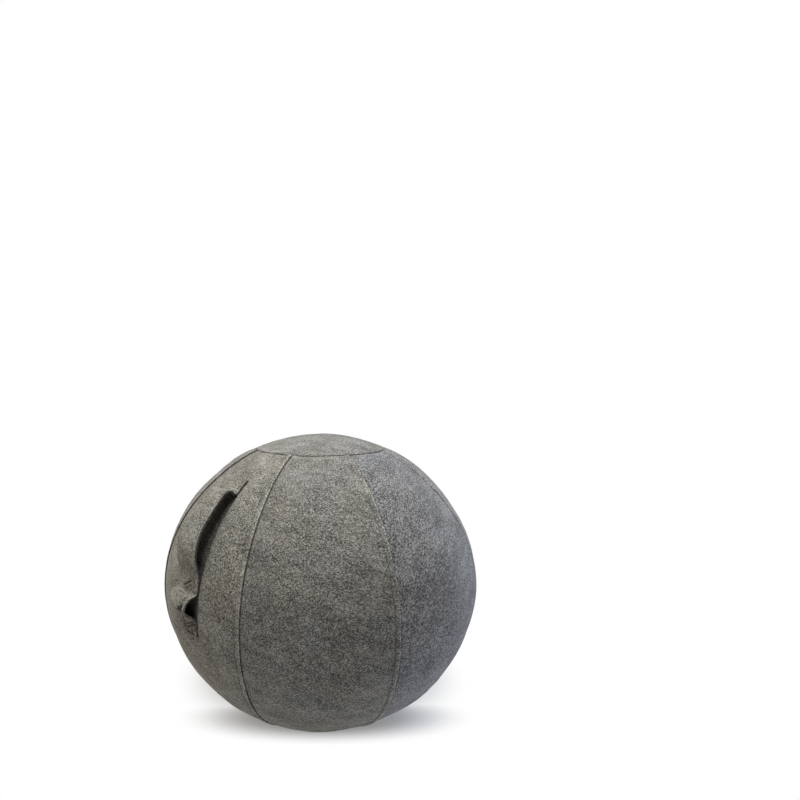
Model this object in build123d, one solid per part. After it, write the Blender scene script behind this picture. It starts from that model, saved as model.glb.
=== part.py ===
from build123d import *
import math
import os

# Sitting ball: an inflated inner ball in a zipped felt cover of eight gores, a round top cap
# and a round base panel. One gore has a strap handle between two slits.
# Millimetres and degrees. Origin on the floor under the ball's axis, +Z up, handle towards -X.

# Outer shape of the cover
ball_width = 650.0
equator_height = 300.0
seat_height = 607.0
foot_radius = 104.0
# Normal angles at which the side arcs pass into the crown arc and into the bottom arc
upper_join = 38.2
lower_join = -28.8

# Felt cover
panel_count = 8
felt_thickness = 3.0
cap_radius = 124.0
seam_gap = 0.5
handle_azimuth = 180.0

# Tapes inside the seams
tape_width = 20.0
tape_thickness = 0.9
glue_gap = 0.1

# Handle: slits on two meridians, angles are those of the surface normal above the horizontal
slit_half_angle = 6.0
window_low_angle = 1.9
window_high_angle = 55.4
strap_thickness = 3.0
strap_clearance = 0.7
slit_gap = 0.6
arch_height = 22.0
arch_bend_radius = 30.0
shoulder_bend_radius = 8.0
fold_height = 18.0
fold_bend_radius = 5.0
backing_margin = 14.0
grip_high_angle = 45.5
grip_low_angle = 30.0
grip_lining_thickness = 1.6

# Zip round the base panel
zip_radius = 150.0
zip_opening = 14.0
zip_sweep = 270.0
zip_start_azimuth = 270.0
zip_tape_width = 15.0
coil_gap = 1.8
coil_width = 2.4
coil_height = 2.1
stop_length = 3.2
stop_margin = 0.8

# Zip slider and its pull
slider_length = 22.0
slider_width = 10.0
slider_plate = 1.5
slider_clearance = 0.3
slider_flange = 0.8
post_width = 1.0
post_length = 9.0
park_margin = 2.0
ear_inner_gap = 6.0
ear_thickness = 1.2
ear_length = 4.0
pin_radius = 0.8
pin_clearance = 0.06
pin_lift = 1.9
eye_wall = 0.8
pull_neck_width = 5.4
pull_width = 7.0
pull_length = 13.0
pull_thickness = 1.4
pull_shoulder = 3.4
pull_hole_radius = 1.6

# Inner ball, valve seat and air plug
bladder_wall = 1.0
bladder_clearance = 0.3
bladder_foot_radius = 82.0
valve_hole_radius = 10.0
valve_flange_radius = 16.0
valve_flange_thickness = 4.0
valve_clearance = 0.1
plug_radius = 4.5
plug_length = 13.0
plug_head_radius = 7.0
plug_head_thickness = 1.2
plug_rib_height = 0.6
plug_rib_length = 1.5

# Values that follow from the driving dimensions
ball_radius = ball_width / 2
panel_angle = 360.0 / panel_count
tape_depth = felt_thickness + glue_gap
bladder_depth = tape_depth + tape_thickness + bladder_clearance
crown_rise = seat_height - equator_height


def upper_arcs():
    """Radii of the upper side arc and the crown arc, tangent to each other at the upper join."""
    out = math.cos(math.radians(upper_join))
    up = math.sin(math.radians(upper_join))
    side = (crown_rise * out - (1 - up) * ball_radius) / (up + out - 1)
    return side, (ball_radius - side * (1 - out)) / out


def lower_side():
    """Radius of the lower side arc, tangent at the lower join to an arc through the foot's edge."""
    out = math.cos(math.radians(lower_join))
    down = -math.sin(math.radians(lower_join))
    reach = ball_radius / out
    spread = (1 - out) / out
    drop = down / out
    height = equator_height + down * reach
    a = drop**2 - spread**2
    b = height * drop - reach * spread
    c = height**2 - reach**2 + foot_radius**2
    return (b - math.sqrt(b**2 - a * c)) / a


upper_side_radius, crown_radius = upper_arcs()
lower_side_radius = lower_side()
upper_offset = ball_radius - upper_side_radius
lower_offset = ball_radius - lower_side_radius
crown_centre = seat_height - crown_radius
cap_angle = 90 - math.degrees(math.asin(cap_radius / crown_radius))


def contact_angle(centre, radius, side):
    """Normal angle at which a bottom arc touches the lower side arc."""
    way = math.copysign(1.0, radius - side)
    return math.degrees(math.atan2(way * (equator_height - centre), way * lower_offset))


def lower_sphere(foot, floor, depth):
    """Centre height and radius of the bottom arc: through the foot's edge, tangent to the lower side arc."""
    side = lower_side_radius - depth
    rise = equator_height - floor
    constant = (foot**2 + side**2 - lower_offset**2 - rise**2) / (2 * side)
    slope = rise / side
    a = 1 - slope**2
    b = constant * slope
    root = math.sqrt(b**2 - a * (foot**2 - constant**2))
    arcs = []
    for centre in ((b - root) / a, (b + root) / a):
        arcs.append((floor + centre, math.hypot(foot, centre)))
    # Of the two arcs that touch, the one that touches nearer to the equator.
    return max(arcs, key=lambda arc: contact_angle(*arc, side))


bottom_centre, bottom_radius = lower_sphere(foot_radius, 0.0, 0.0)
zip_angle = math.degrees(math.asin(zip_radius / bottom_radius)) - 90


def along_bottom(length):
    """Angle that a length takes along the bottom arc."""
    return math.degrees(length / bottom_radius)


def turn(radius, length):
    """Azimuth that a length takes at a radius from the axis."""
    return math.degrees(length / radius)


def surface(angle, depth):
    """Point (r, z) at a depth under the cover's outer face, where its normal rises at this angle."""
    if angle >= upper_join:
        radius, r0, z0 = crown_radius, 0.0, crown_centre
    elif angle >= 0:
        radius, r0, z0 = upper_side_radius, upper_offset, equator_height
    elif angle >= lower_join:
        radius, r0, z0 = lower_side_radius, lower_offset, equator_height
    else:
        radius, r0, z0 = bottom_radius, 0.0, bottom_centre
    reach = radius - depth
    rise = math.radians(angle)
    return r0 + reach * math.cos(rise), z0 + reach * math.sin(rise)


def surface_line(low, high, depth):
    """Arcs along the cover between two angles, one for each arc of its profile."""
    ends = [low] + [join for join in (lower_join, 0.0, upper_join) if low < join < high] + [high]
    arcs = []
    for start, end in zip(ends, ends[1:]):
        # A join belongs to the arc above it, and the arcs are tangent there, so both give the same point.
        arcs.append(ThreePointArc(surface(start, depth), surface((start + end) / 2, depth), surface(end, depth)))
    return arcs


def spun(edges, sweep, azimuth):
    """Solid of a closed profile turned about the axis, centred on an azimuth."""
    face = Plane.XZ * make_face(edges)
    return Rot(0, 0, azimuth - sweep / 2) * revolve(face, Axis.Z, sweep)


def shell_zone(low, high, outer, inner, sweep=360.0, azimuth=0.0):
    """Piece of the cover between two angles and two depths."""
    ends = [Line(surface(low, outer), surface(low, inner)), Line(surface(high, outer), surface(high, inner))]
    edges = surface_line(low, high, outer) + surface_line(low, high, inner) + ends
    return spun(edges, sweep, azimuth)


def closed_profile(foot, floor, depth):
    """Arcs and foot line of a closed ball profile, from the axis at the floor to the axis at the top."""
    centre, radius = lower_sphere(foot, floor, depth)
    side = lower_side_radius - depth
    side_join = math.radians(contact_angle(centre, radius, side))
    foot_turn = math.asin((floor - centre) / radius)
    half_turn = (side_join + foot_turn) / 2
    at_join = (radius * math.cos(side_join), centre + radius * math.sin(side_join))
    half_way = (radius * math.cos(half_turn), centre + radius * math.sin(half_turn))
    side_half = side_join / 2
    side_mid = (lower_offset + side * math.cos(side_half), equator_height + side * math.sin(side_half))
    return [
        Line((0, floor), (foot, floor)),
        ThreePointArc((foot, floor), half_way, at_join),
        ThreePointArc(at_join, side_mid, (ball_radius - depth, equator_height)),
    ] + surface_line(0.0, 90.0, depth)


def on_azimuth(azimuth):
    """Frame on the zip's line at an azimuth: x along the zip, y towards the panels, z out of the cover."""
    r, z = surface(zip_angle, 0.0)
    around = math.radians(azimuth)
    rise = math.radians(zip_angle)
    out = (math.cos(rise) * math.cos(around), math.cos(rise) * math.sin(around), math.sin(rise))
    return Plane((r * math.cos(around), r * math.sin(around), z), (math.sin(around), -math.cos(around), 0), out)


def seam_azimuth(index):
    return handle_azimuth + (index + 0.5) * panel_angle


# Angles along the bottom arc at the zip
half_opening = along_bottom(zip_opening / 2)
panel_low = zip_angle + half_opening
base_high = zip_angle - half_opening
tape_reach = along_bottom(zip_tape_width)
coil_near = along_bottom(coil_gap / 2)
coil_far = along_bottom(coil_gap / 2 + coil_width)
zip_middle = zip_start_azimuth + zip_sweep / 2


def cover_panel(azimuth):
    sweep = panel_angle - turn(ball_radius, seam_gap)
    return shell_zone(panel_low, cap_angle, 0.0, felt_thickness, sweep, azimuth)


def handle_panel():
    """Gore with its middle strip cut out between the two slits."""
    window = shell_zone(
        window_low_angle, window_high_angle, -felt_thickness, 2 * felt_thickness, 2 * slit_half_angle, handle_azimuth
    )
    return cover_panel(handle_azimuth) - window


def top_cap():
    edge = cap_angle + math.degrees(seam_gap / crown_radius)
    rim = [Line(surface(edge, 0.0), surface(edge, felt_thickness))]
    axis = [Line((0, seat_height), (0, seat_height - felt_thickness))]
    outline = surface_line(edge, 90.0, 0.0) + surface_line(edge, 90.0, felt_thickness)
    return spun(outline + rim + axis, 360.0, 0.0)


def base_panel():
    """Dished disc: flat on the floor, with a rim that rises to the zip."""
    inner_radius = bottom_radius - felt_thickness
    inner_foot = math.sqrt(inner_radius**2 - (bottom_centre - felt_thickness) ** 2)
    low = math.degrees(math.asin(-bottom_centre / bottom_radius))
    inner_low = math.degrees(math.asin((felt_thickness - bottom_centre) / inner_radius))
    edges = [
        Line((0, 0), (foot_radius, 0)),
        Line((0, felt_thickness), (inner_foot, felt_thickness)),
        Line((0, 0), (0, felt_thickness)),
        Line(surface(base_high, 0.0), surface(base_high, felt_thickness)),
    ]
    edges += surface_line(low, base_high, 0.0) + surface_line(inner_low, base_high, felt_thickness)
    return spun(edges, 360.0, 0.0)


def seam_tape(index):
    """Tape of constant width along the inside of one gore seam."""
    low = zip_angle + tape_reach + along_bottom(seam_gap)
    high = cap_angle - math.degrees((tape_width / 2 + seam_gap) / crown_radius)
    sweep = 2 * turn(cap_radius, tape_width)
    azimuth = seam_azimuth(index)
    strip = shell_zone(low, high, tape_depth, tape_depth + tape_thickness, sweep, azimuth)
    slab = Box(ball_radius, tape_width, seat_height, align=(Align.MIN, Align.CENTER, Align.MIN))
    return strip & (Rot(0, 0, azimuth) * slab)


def cap_tape():
    reach = math.degrees(tape_width / 2 / crown_radius)
    return shell_zone(cap_angle - reach, cap_angle + reach, tape_depth, tape_depth + tape_thickness)


def handle_backing():
    """Dark cloth that closes the opening behind the strap."""
    margin_up = math.degrees(backing_margin / crown_radius)
    margin_down = math.degrees(backing_margin / lower_side_radius)
    sweep = 2 * (slit_half_angle + turn(ball_radius, backing_margin))
    low = window_low_angle - margin_down
    high = window_high_angle + margin_up
    return shell_zone(low, high, tape_depth, tape_depth + tape_thickness, sweep, handle_azimuth)


flush = tape_depth - strap_clearance
end_gap = math.degrees(slit_gap / crown_radius)

# Corners of the strap's under face: normal angle, height over the cover and bend radius.
# It leaves the opening steeply, arches down to the cover, and is pushed into a second fold.
strap_corners = [
    (window_high_angle - end_gap, -flush, 0.0),
    (49.8, -flush, fold_bend_radius),
    (48.9, 0.76 * arch_height, shoulder_bend_radius),
    (43.0, 0.87 * arch_height, arch_bend_radius),
    (37.0, arch_height, arch_bend_radius),
    (33.0, 0.98 * arch_height, arch_bend_radius),
    (28.5, 0.75 * arch_height, arch_bend_radius),
    (22.2, -flush, arch_bend_radius),
    (16.6, -flush, fold_bend_radius),
    (14.6, fold_height, fold_bend_radius),
    (11.0, fold_height, fold_bend_radius),
    (8.4, -flush, fold_bend_radius),
    (window_low_angle + end_gap, -flush, 0.0),
]


def offset_route(points, radii, distance):
    """Route moved to its left by a distance, with its bends kept concentric."""
    normals = []
    for (x0, y0), (x1, y1) in zip(points, points[1:]):
        length = math.hypot(x1 - x0, y1 - y0)
        normals.append(((y0 - y1) / length, (x1 - x0) / length))
    moved = [(points[0][0] + distance * normals[0][0], points[0][1] + distance * normals[0][1])]
    bends = []
    for point, radius, before, after in zip(points[1:-1], radii, normals, normals[1:]):
        share = distance / (1 + before[0] * after[0] + before[1] * after[1])
        moved.append((point[0] + share * (before[0] + after[0]), point[1] + share * (before[1] + after[1])))
        left_turn = math.copysign(1.0, before[0] * after[1] - before[1] * after[0])
        bends.append(radius - distance * left_turn)
    last = points[-1]
    moved.append((last[0] + distance * normals[-1][0], last[1] + distance * normals[-1][1]))
    return moved, bends


def strap_band(corners, near, far, half_angle):
    """Band between two distances from a strap route, turned about the axis between the slits."""
    points = [surface(angle, -height) for angle, height, _ in corners]
    radii = [radius for _, _, radius in corners[1:-1]]
    near_points, near_radii = offset_route(points, radii, near)
    far_points, far_radii = offset_route(points, radii, far)
    edges = [
        FilletPolyline(*near_points, radius=near_radii),
        FilletPolyline(*far_points, radius=far_radii),
        Line(near_points[0], far_points[0]),
        Line(near_points[-1], far_points[-1]),
    ]
    return spun(edges, 2 * half_angle, handle_azimuth)


strap_half_angle = slit_half_angle - turn(ball_radius, slit_gap)


def handle_strap():
    return strap_band(strap_corners, 0.0, strap_thickness, strap_half_angle)


def grip_corners():
    """The strap's corners that lie over the grip, with its two ends on the strap's straight runs."""
    inside = [corner for corner in strap_corners if grip_low_angle < corner[0] < grip_high_angle]
    first = strap_corners.index(inside[0])
    last = strap_corners.index(inside[-1])
    return inside, strap_corners[first - 1], strap_corners[last + 1]


def between(corner, other, angle):
    """Point of the straight run between two corners where the cover's normal is nearest to an angle."""
    share = (angle - corner[0]) / (other[0] - corner[0])
    x0, y0 = surface(corner[0], -corner[1])
    x1, y1 = surface(other[0], -other[1])
    return x0 + share * (x1 - x0), y0 + share * (y1 - y0)


def handle_grip_lining():
    """Webbing under the strap, where the hand holds it."""
    inside, above, below = grip_corners()
    points = [between(inside[0], above, grip_high_angle)]
    points += [surface(angle, -height) for angle, height, _ in inside]
    points += [between(inside[-1], below, grip_low_angle)]
    radii = [radius for _, _, radius in inside]
    near_points, near_radii = offset_route(points, radii, -glue_gap)
    far_points, far_radii = offset_route(points, radii, -glue_gap - grip_lining_thickness)
    edges = [
        FilletPolyline(*near_points, radius=near_radii),
        FilletPolyline(*far_points, radius=far_radii),
        Line(near_points[0], far_points[0]),
        Line(near_points[-1], far_points[-1]),
    ]
    return spun(edges, 2 * strap_half_angle, handle_azimuth)


def zip_tape(side):
    """One of the zip's two tapes: side 1 under the panels' edge, side -1 under the base panel's edge."""
    low, high = sorted((zip_angle + side * coil_near, zip_angle + side * tape_reach))
    return shell_zone(low, high, tape_depth, tape_depth + tape_thickness, zip_sweep, zip_middle)


def zip_coil(side):
    low, high = sorted((zip_angle + side * coil_near, zip_angle + side * coil_far))
    sweep = zip_sweep - 2 * turn(zip_radius, stop_length + stop_margin)
    return shell_zone(low, high, felt_thickness - coil_height, felt_thickness, sweep, zip_middle)


def zip_stops():
    """Crimped blocks at both ends of both coils."""
    blocks = []
    for side in (1, -1):
        low, high = sorted((zip_angle + side * coil_near, zip_angle + side * coil_far))
        for end in (1, -1):
            azimuth = zip_middle + end * (zip_sweep / 2 - turn(zip_radius, stop_length / 2))
            sweep = turn(zip_radius, stop_length)
            blocks.append(shell_zone(low, high, felt_thickness - coil_height, felt_thickness, sweep, azimuth))
    return Compound(children=blocks)


def base_hinge_strip():
    """Sewn strip between base panel and gores where the zip leaves off."""
    sweep = 360.0 - zip_sweep - turn(zip_radius, seam_gap)
    return shell_zone(base_high, panel_low, 0.0, felt_thickness, sweep, zip_middle + 180.0)


slider_azimuth = zip_start_azimuth + turn(zip_radius, stop_length + stop_margin + park_margin + slider_length / 2)
slider_sweep = turn(zip_radius, slider_length)
coil_top = felt_thickness - coil_height
plate_under = coil_top - slider_clearance
plate_top = plate_under - slider_plate
pin_height = pin_lift - plate_top


def zip_slider():
    """Two plates over and under the coils, a post between the coils, flanges and two ears with a pin."""
    half_width = along_bottom(slider_width / 2)
    flange = along_bottom(slider_flange)
    half_post = along_bottom(post_width / 2)
    under = tape_depth + tape_thickness + slider_clearance
    post_sweep = turn(zip_radius, post_length)
    low = zip_angle - half_width
    high = zip_angle + half_width
    body = shell_zone(low, high, plate_top, plate_under, slider_sweep, slider_azimuth)
    body += shell_zone(low, high, under, under + slider_plate, slider_sweep, slider_azimuth)
    body += shell_zone(zip_angle - half_post, zip_angle + half_post, plate_top, under + slider_plate,
                       post_sweep, slider_azimuth)
    for edge in (low, high - flange):
        body += shell_zone(edge, edge + flange, plate_top, felt_thickness - slider_clearance,
                           slider_sweep, slider_azimuth)
    frame = on_azimuth(slider_azimuth)
    ear_height = pin_height + 2 * pin_radius + plate_under
    for side in (1, -1):
        ear = Box(ear_length, ear_thickness, ear_height, align=(Align.CENTER, Align.CENTER, Align.MIN))
        centre = side * (ear_inner_gap + ear_thickness) / 2
        body += frame * Pos(0, centre, -plate_under) * ear
    pin = Rot(90, 0, 0) * Cylinder(pin_radius, ear_inner_gap + ear_thickness)
    body += frame * Pos(0, 0, pin_height) * pin
    return body


def zip_pull():
    """Small tab that hangs from the slider's pin."""
    eye_radius = pin_radius + pin_clearance + eye_wall
    bore = Cylinder(pin_radius + pin_clearance, 2 * pull_width)
    eye = Rot(90, 0, 0) * Cylinder(eye_radius, pull_neck_width)
    neck = Box(pull_thickness, pull_neck_width, pull_shoulder, align=(Align.CENTER, Align.CENTER, Align.MIN))
    blade_length = pull_length - pull_shoulder
    blade = Box(pull_thickness, pull_width, blade_length, align=(Align.CENTER, Align.CENTER, Align.MIN))
    blade = fillet(blade.edges().filter_by(Axis.X).group_by(Axis.Z)[-1], pull_width / 3)
    hole = Rot(0, 90, 0) * Cylinder(pull_hole_radius, 2 * pull_thickness)
    tab = eye + neck + Pos(0, 0, pull_shoulder) * blade
    tab -= Rot(90, 0, 0) * bore
    tab -= Pos(0, 0, pull_length - pull_width / 2) * hole
    return on_azimuth(slider_azimuth) * Pos(0, 0, pin_height) * tab


bladder_floor = felt_thickness + bladder_clearance


def inner_ball():
    """Inflated bladder: a thin closed shell with a hole for its valve at the bottom."""
    outer_foot = bladder_foot_radius
    inner_foot = bladder_foot_radius - bladder_wall
    outer = closed_profile(outer_foot, bladder_floor, bladder_depth)
    inner = closed_profile(inner_foot, bladder_floor + bladder_wall, bladder_depth + bladder_wall)
    top = seat_height - bladder_depth
    solid = spun(outer + [Line((0, bladder_floor), (0, top))], 360.0, 0.0)
    hollow = spun(inner + [Line((0, bladder_floor + bladder_wall), (0, top - bladder_wall))], 360.0, 0.0)
    hole = Pos(0, 0, bladder_floor) * Cylinder(valve_hole_radius, 4 * bladder_wall)
    return solid - hollow - hole


def valve_seat():
    """Moulded seat bonded inside the bladder's hole, with a recess for the plug's head."""
    align = (Align.CENTER, Align.CENTER, Align.MIN)
    neck_radius = valve_hole_radius - valve_clearance
    neck = Cylinder(neck_radius, bladder_wall, align=align)
    flange = Pos(0, 0, bladder_wall) * Cylinder(valve_flange_radius, valve_flange_thickness, align=align)
    bore = Cylinder(plug_radius + valve_clearance, 4 * valve_flange_thickness)
    recess = Cylinder(plug_head_radius + valve_clearance, plug_head_thickness + valve_clearance, align=align)
    return Pos(0, 0, bladder_floor) * (neck + flange - bore - recess)


def air_plug():
    """Push-in plug with a flat head and a rib that snaps past the seat."""
    align = (Align.CENTER, Align.CENTER, Align.MIN)
    head = Cylinder(plug_head_radius, plug_head_thickness, align=align)
    shank = Cylinder(plug_radius, plug_length, align=align)
    tip = shank.edges().group_by(Axis.Z)[-1]
    shank = chamfer(tip, plug_radius / 3)
    rib_height = bladder_wall + valve_flange_thickness + valve_clearance
    rib = Pos(0, 0, rib_height) * Cylinder(plug_radius + plug_rib_height, plug_rib_length, align=align)
    return Pos(0, 0, bladder_floor) * (head + shank + rib)


def parts():
    """Every node of the model by name."""
    made = {
        "inner_ball": inner_ball(),
        "valve_seat": valve_seat(),
        "air_plug": air_plug(),
        "top_cap": top_cap(),
        "handle_panel": handle_panel(),
        "base_panel": base_panel(),
        "base_hinge_strip": base_hinge_strip(),
        "handle_strap": handle_strap(),
        "handle_grip_lining": handle_grip_lining(),
        "handle_backing": handle_backing(),
        "cap_seam_tape": cap_tape(),
        "zip_tape_outer": zip_tape(1),
        "zip_tape_inner": zip_tape(-1),
        "zip_coil_outer": zip_coil(1),
        "zip_coil_inner": zip_coil(-1),
        "zip_stops": zip_stops(),
        "zip_slider": zip_slider(),
        "zip_pull": zip_pull(),
    }
    for index in range(1, panel_count):
        made[f"cover_panel_{index}"] = cover_panel(handle_azimuth + index * panel_angle)
    for index in range(panel_count):
        made[f"seam_tape_{index + 1}"] = seam_tape(index)
    return made


os.makedirs("parts", exist_ok=True)
for name, shape in parts().items():
    export_step(shape, f"parts/{name}.step")
zip_travel = zip_sweep - 2 * (slider_azimuth - zip_start_azimuth)
print("zip travel", round(zip_travel, 2), "slider azimuth", round(slider_azimuth, 3))
print("pin point", [round(v, 4) for v in (on_azimuth(slider_azimuth) * Pos(0, 0, pin_height)).position])
print("pin axis", [round(v, 5) for v in on_azimuth(slider_azimuth).y_dir])
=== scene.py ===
import math

import bpy
import numpy as np
from mathutils import Matrix, Vector


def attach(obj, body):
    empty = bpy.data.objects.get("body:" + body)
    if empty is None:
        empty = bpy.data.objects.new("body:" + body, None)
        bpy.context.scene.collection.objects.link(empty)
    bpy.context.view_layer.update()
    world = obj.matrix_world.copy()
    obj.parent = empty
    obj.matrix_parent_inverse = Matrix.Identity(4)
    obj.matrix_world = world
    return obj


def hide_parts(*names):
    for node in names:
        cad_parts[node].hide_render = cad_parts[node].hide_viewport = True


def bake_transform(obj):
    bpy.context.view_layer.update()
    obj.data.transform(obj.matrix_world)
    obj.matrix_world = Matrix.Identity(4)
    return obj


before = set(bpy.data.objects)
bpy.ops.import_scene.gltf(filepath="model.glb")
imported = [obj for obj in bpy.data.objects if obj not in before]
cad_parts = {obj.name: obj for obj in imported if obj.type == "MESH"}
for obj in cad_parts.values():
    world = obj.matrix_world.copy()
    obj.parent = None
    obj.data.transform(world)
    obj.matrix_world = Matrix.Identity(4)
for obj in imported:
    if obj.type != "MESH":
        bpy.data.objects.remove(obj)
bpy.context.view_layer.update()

# Sitting ball: felt gores over an inflated ball, a strap handle in one gore, a zipped base.
# Metres and degrees, in the row frame. Azimuths turn from +X to +Y.

# Profile of the cover
BALL_RADIUS = 0.325
EQUATOR = 0.300
SEAT = 0.607
FOOT = 0.104
UPPER_JOIN = 38.2
LOWER_JOIN = -28.8
CAP_RADIUS = 0.124
FELT = 0.003
PANELS = 8
PANEL_ANGLE = 360 / PANELS
HANDLE_AZIMUTH = 180.0

# Handle
SLIT_ANGLE = 6.0
SLIT_GAP = 0.0007
SLIT_DIP = 0.0022
SLIT_DIP_REACH = 0.009
SLIT_LOWEST = -0.0024
WINDOW_LOW = 1.9
WINDOW_HIGH = 55.4
STRAP_THICKNESS = 0.003
GRIP_SPLIT = 37.0
GRIP_HIGH = 45.3
GRIP_LOW = 30.2
FLUSH_HIGH = 50.5
FLUSH_LOW = 17.5
LINING_TOP = 0.0001
LINING_UNDER = 0.0017
BACKING_DEPTH = 0.0031
BACKING_THICKNESS = 0.0009
BACKING_MARGIN = 0.014

# Sheets: mean radius at the window, and a rounded share of the lining's length over its arch
WINDOW_MEAN_RADIUS = 0.28
LINING_ARCH_SHARE = 1.06

# Seams
SEAM_GAP = 0.0009
OPEN_SEAM_GAP = 0.0020
GROOVE_DEPTH = 0.0037
GROOVE_WIDTH = 0.0010
LAP_DEPTH = 0.0012
BASE_GROOVE_DEPTH = 0.0016
PANEL_LOWEST = -0.0029
CAP_LOWEST = -0.0028
WELT_HEIGHT = 0.0020
STITCH_LINE = 0.0095
STITCH_PITCH = 0.0062
STITCH_LENGTH = 0.0044
STITCH_MARGIN = 0.008
STITCH_DENT = 0.0011
STITCH_DENT_WIDTH = 0.0013
STITCH_RINGS = 6
STITCH_SIDES = 5
THREAD_RADIUS = 0.0005

# Unevenness of the stretched felt
PANEL_SWELL = 0.0006
PANEL_RIPPLE = 0.00018
CAP_SWELL = 0.0005
CAP_RIPPLE = 0.00015

# Zip round the base
ZIP_RADIUS = 0.150
ZIP_OPENING = 0.014
ZIP_START = 270.0
ZIP_SWEEP = 270.0
ZIP_TAPE = 0.015
ZIP_TAPE_TOP = 0.0031
ZIP_TAPE_UNDER = 0.0040
COIL_GAP = 0.0018
COIL_WIDTH = 0.0024
COIL_HEIGHT = 0.0021
COIL_PITCH = 0.0022
COIL_WIRE = 0.00042
STOP_LENGTH = 0.0032
STOP_MARGIN = 0.0008

# Felt: greys of its fibres, painted warm and cool light casts, and scales of its grain
FELT_DARK = (0.038, 0.0375, 0.0355)
FELT_MIDDLE = (0.130, 0.1285, 0.122)
FELT_LIGHT = (0.400, 0.395, 0.375)
NEUTRAL = (1.0, 1.0, 1.0)
# Painted light: a warm cast and a cool cast multiplied into the felt's colour, standing in for warm light on the
# handle side and cool light on the right-hand panel.
PAINTED_WARM_LIGHT = (1.01, 1.0, 0.965)
PAINTED_COOL_LIGHT = (0.96, 0.98, 1.075)
FIBRE_STRETCH = 3.2
FIBRE_SCALE = 860.0
SPECK_SCALE = 680.0
NAP_SCALE = 700.0
HAIR_SCALE = 330.0
MOTTLE_SCALE = 90.0
CLOUD_SCALE = 36.0
TINT_SCALE = 16.0

# Floor: its glow, and the ellipses outside which it is plain white
FLOOR_FILL = 0.07
FLOOR_LIFT = 0.23
SHADOW_FRONT = 0.108
SHADOW_SIDE = 0.011
SHADOW_BACK = -0.06
FRONT_ELLIPSE = (0.080, 0.325, 1.0)
ROUND_ELLIPSE = (0.24, 0.39, 1.0)

# Camera: place round the ball, lens and picture centre in pixels
CAMERA_AZIMUTH = 225.0
CAMERA_REACH = 0.8028
CAMERA_HEIGHT = 0.6717
FOCAL_PIXELS = 392.9
PICTURE = 800
CENTRE_PIXEL = (320.5, 579.1)
to_camera = np.array([math.cos(math.radians(CAMERA_AZIMUTH)), math.sin(math.radians(CAMERA_AZIMUTH)), 0.0])
to_right = np.array([-to_camera[1], to_camera[0], 0.0])


def upper_arcs():
    """Radii of the upper side arc and of the crown arc."""
    out, up = math.cos(math.radians(UPPER_JOIN)), math.sin(math.radians(UPPER_JOIN))
    rise = SEAT - EQUATOR
    side = (rise * out - (1 - up) * BALL_RADIUS) / (up + out - 1)
    return side, (BALL_RADIUS - side * (1 - out)) / out


def lower_arcs():
    """Radii of the lower side arc and of the bottom arc, which passes through the foot's edge."""
    out, down = math.cos(math.radians(LOWER_JOIN)), -math.sin(math.radians(LOWER_JOIN))
    reach, spread, drop = BALL_RADIUS / out, (1 - out) / out, down / out
    height = EQUATOR + down * reach
    a = drop**2 - spread**2
    b = height * drop - reach * spread
    c = height**2 - reach**2 + FOOT**2
    side = (b - math.sqrt(b * b - a * c)) / a
    return side, reach - spread * side


SIDE_UP, CROWN = upper_arcs()
SIDE_LOW, BOTTOM = lower_arcs()
CROWN_CENTRE = SEAT - CROWN
BOTTOM_CENTRE = math.sqrt(BOTTOM**2 - FOOT**2)
CAP_ANGLE = 90 - math.degrees(math.asin(CAP_RADIUS / CROWN))
ZIP_ANGLE = math.degrees(math.asin(ZIP_RADIUS / BOTTOM)) - 90
HALF_OPENING = math.degrees(ZIP_OPENING / 2 / BOTTOM)
PANEL_LOW = ZIP_ANGLE + HALF_OPENING
BASE_HIGH = ZIP_ANGLE - HALF_OPENING
FOOT_ANGLE = -math.degrees(math.asin(BOTTOM_CENTRE / BOTTOM))


def profile(angle, height):
    """Radius and height of the point that lies so far over the cover where its normal has this angle."""
    angle = np.asarray(angle, float)
    zones = [angle >= UPPER_JOIN, angle >= 0, angle >= LOWER_JOIN]
    radius = np.select(zones, [CROWN, SIDE_UP, SIDE_LOW], BOTTOM)
    r0 = np.select(zones, [0.0, BALL_RADIUS - SIDE_UP, BALL_RADIUS - SIDE_LOW], 0.0)
    z0 = np.select(zones, [CROWN_CENTRE, EQUATOR, EQUATOR], BOTTOM_CENTRE)
    rise = np.radians(angle)
    return r0 + (radius + height) * np.cos(rise), z0 + (radius + height) * np.sin(rise)


def place(azimuth, angle, height):
    """Points in the row frame from azimuth, normal angle and height over the cover."""
    r, z = profile(angle, height)
    turn = np.radians(azimuth)
    return np.stack([r * np.cos(turn), r * np.sin(turn), z + 0 * turn], axis=-1)


def arc_length(angle):
    """Length along the profile from the equator to a normal angle."""
    fine = np.linspace(-89.0, 90.0, 3600)
    r, z = profile(fine, 0.0)
    run = np.concatenate([[0], np.cumsum(np.hypot(np.diff(r), np.diff(z)))])
    return np.interp(angle, fine, run) - np.interp(0.0, fine, run)


class Waves:
    """Smooth, seeded unevenness: a sum of plane waves with lengths between two limits."""

    def __init__(self, seed, shortest, longest, count=24, dims=3):
        rng = np.random.default_rng(seed)
        way = rng.normal(size=(count, dims))
        way /= np.linalg.norm(way, axis=1)[:, None]
        length = np.exp(rng.uniform(math.log(shortest), math.log(longest), count))
        self.k = way * (2 * math.pi / length)[:, None]
        self.phase = rng.uniform(0, 2 * math.pi, count)
        self.scale = math.sqrt(2 / count)

    def at(self, points):
        return self.scale * np.sin(np.asarray(points) @ self.k.T + self.phase).sum(axis=-1)


def grid_faces(rows, columns, wrap=False):
    """Quads of a grid of points, columns running fastest."""
    last = columns if wrap else columns - 1
    row, column = np.meshgrid(np.arange(rows - 1), np.arange(last), indexing="ij")
    nxt = (column + 1) % columns
    quads = [row * columns + column, row * columns + nxt, (row + 1) * columns + nxt, (row + 1) * columns + column]
    return np.stack(quads, axis=-1).reshape(-1, 4)


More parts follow.
